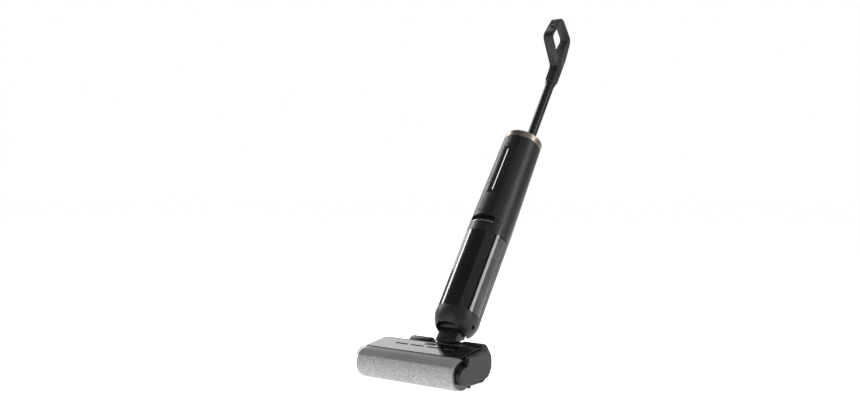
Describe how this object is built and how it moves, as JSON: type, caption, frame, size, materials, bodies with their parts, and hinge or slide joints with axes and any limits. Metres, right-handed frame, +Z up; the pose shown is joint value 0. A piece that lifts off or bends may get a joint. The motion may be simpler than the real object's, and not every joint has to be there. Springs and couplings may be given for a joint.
{
  "type": "wet dry floor scrubber",
  "caption": "Upright cordless wet dry floor scrubber: roller head, swivel neck, round body with water tanks, and a slim tube with a loop handle.",
  "frame": {"origin": "on the floor, under the middle of the machine's bounding box, with the body leaning back as when it is held in use", "axes": "+Z up, +X to the machine's right, front of the floor head towards -Y; the body leans back towards +Y"},
  "size_m": [0.3104, 0.7716, 0.9562],
  "materials": {
    "black_shell": "fine matt moulded plastic",
    "grey_shell": "satin graphite moulded plastic",
    "gloss_black": "deep gloss tinted plastic",
    "smoked_clear": "smoked transparent plastic",
    "dark_rubber": "matt soft rubber",
    "wheel_tyre": "ribbed soft tyre",
    "champagne": "satin anodised champagne",
    "motor_can": "plain machined",
    "steel_pin": "ground steel",
    "black_tube": "black satin anodised",
    "fleece": "short speckled grey pile",
    "light": "white light guide"
  },
  "bodies": {
    "floor_head": {"chassis_pan": "black_shell", "top_housing": "black_shell", "left_side_cap": "grey_shell", "drive_end_cap": "grey_shell", "roller_bay": "black_shell", "squeegee_lip": "dark_rubber", "suction_duct": "black_shell", "roller_motor": "motor_can", "roller_flange": "black_shell", "neck_box": "black_shell", "turntable_ring": "grey_shell", "wheel_arch_left": "black_shell", "wheel_arch_right": "black_shell", "wheel_axle": "steel_pin"},
    "neck": {"neck_yoke": "black_shell", "neck_dome": "black_shell", "neck_hose": "dark_rubber"},
    "upright": {"bottom_cup": "grey_shell", "pivot_pin_left": "steel_pin", "pivot_pin_right": "steel_pin", "spine_column": "black_shell", "suction_riser": "black_shell", "upper_housing": "grey_shell", "slot_liner": "black_shell", "fan_motor": "motor_can", "water_pump": "motor_can", "trim_ring": "champagne", "top_cap": "black_shell", "handle_tube": "black_tube", "tube_collar": "dark_rubber", "handle_loop": "grey_shell", "grip_sleeve": "dark_rubber", "handle_strap": "grey_shell"},
    "dirty_tank": {"dirty_tank_cup": "gloss_black", "dirty_tank_lid": "grey_shell", "tank_filter": "smoked_clear"},
    "release_bar": {"tank_release_bar": "champagne"},
    "clean_water_tank": {"clean_tank": "smoked_clear", "clean_tank_lid": "grey_shell", "rear_cover": "grey_shell"},
    "tank_latch": {"clean_tank_button": "grey_shell"},
    "power_module": {"front_panel": "grey_shell", "panel_trim": "champagne", "display_strip": "gloss_black", "light_bar": "light", "battery_pack": "dark_rubber"},
    "power_key": {"power_button": "grey_shell"},
    "mode_key": {"mode_button": "grey_shell"},
    "self_clean_key": {"self_clean_button": "grey_shell"},
    "roller_drive": {"drive_hub": "black_shell"},
    "roller_sleeve": {"roller_fleece": "fleece", "roller_core": "black_shell", "roller_end_cap": "black_shell"},
    "roller_cover": {"visor": "smoked_clear", "cover_plate": "smoked_clear"},
    "cover_key": {"cover_latch": "grey_shell"},
    "left_wheel": {"wheel_tyre_left": "wheel_tyre", "wheel_hub_left": "grey_shell"},
    "right_wheel": {"wheel_tyre_right": "wheel_tyre", "wheel_hub_right": "grey_shell"}
  },
  "joints": [
    {"name": "neck_steer", "type": "hinge", "parent": "floor_head", "child": "neck", "pos_m": [0.00925, -0.22834, 0.075], "axis": [0, 0, 1], "range_deg": [-31.85, 28.15]},
    {"name": "neck_tilt", "type": "hinge", "parent": "neck", "child": "upright", "pos_m": [0.00833, -0.19996, 0.119], "axis": [0.9995, 0.0323, 0], "range_deg": [-34, 35.46]},
    {"name": "dirty_tank_slide", "type": "slide", "parent": "upright", "child": "dirty_tank", "axis": [0.0263, -0.8141, 0.5801], "range_m": [0, 0.09]},
    {"name": "release_bar_press", "type": "slide", "parent": "dirty_tank", "child": "release_bar", "axis": [-0.0263, 0.8141, -0.5801], "range_m": [0, 0.0025], "stiffness_N_per_m": 800},
    {"name": "clean_tank_slide", "type": "slide", "parent": "upright", "child": "clean_water_tank", "axis": [-0.0263, 0.8141, -0.5801], "range_m": [0, 0.09]},
    {"name": "clean_tank_button_press", "type": "slide", "parent": "upright", "child": "tank_latch", "axis": [0.0263, -0.8141, 0.5801], "range_m": [0, 0.0025], "stiffness_N_per_m": 600},
    {"name": "power_module_slide", "type": "slide", "parent": "upright", "child": "power_module", "axis": [0.0263, -0.8141, 0.5801], "range_m": [0, 0.06]},
    {"name": "power_button_press", "type": "slide", "parent": "upright", "child": "power_key", "axis": [-0.023, 0.7126, -0.7012], "range_m": [0, 0.0015], "stiffness_N_per_m": 600},
    {"name": "mode_button_press", "type": "slide", "parent": "upright", "child": "mode_key", "axis": [-0.023, 0.7126, -0.7012], "range_m": [0, 0.0015], "stiffness_N_per_m": 600},
    {"name": "self_clean_button_press", "type": "slide", "parent": "upright", "child": "self_clean_key", "axis": [0.0246, -0.7617, -0.6474], "range_m": [0, 0.0015], "stiffness_N_per_m": 600},
    {"name": "roller_spin", "type": "hinge", "parent": "floor_head", "child": "roller_drive", "pos_m": [0.00925, -0.34964, 0.0362], "axis": [1, 0, 0], "continuous": true},
    {"name": "roller_pull", "type": "slide", "parent": "roller_drive", "child": "roller_sleeve", "axis": [-1, 0, 0], "range_m": [0, 0.2]},
    {"name": "cover_lift", "type": "slide", "parent": "floor_head", "child": "roller_cover", "axis": [0, -0.159, 0.9873], "range_m": [0, 0.05]},
    {"name": "cover_latch_press", "type": "slide", "parent": "roller_cover", "child": "cover_key", "axis": [0, 0.159, -0.9873], "range_m": [0, 0.002], "stiffness_N_per_m": 600},
    {"name": "left_wheel_spin", "type": "hinge", "parent": "floor_head", "child": "left_wheel", "pos_m": [-0.07075, -0.22984, 0.0225], "axis": [1, 0, 0], "continuous": true},
    {"name": "right_wheel_spin", "type": "hinge", "parent": "floor_head", "child": "right_wheel", "pos_m": [0.08925, -0.22984, 0.0225], "axis": [1, 0, 0], "continuous": true}
  ]
}
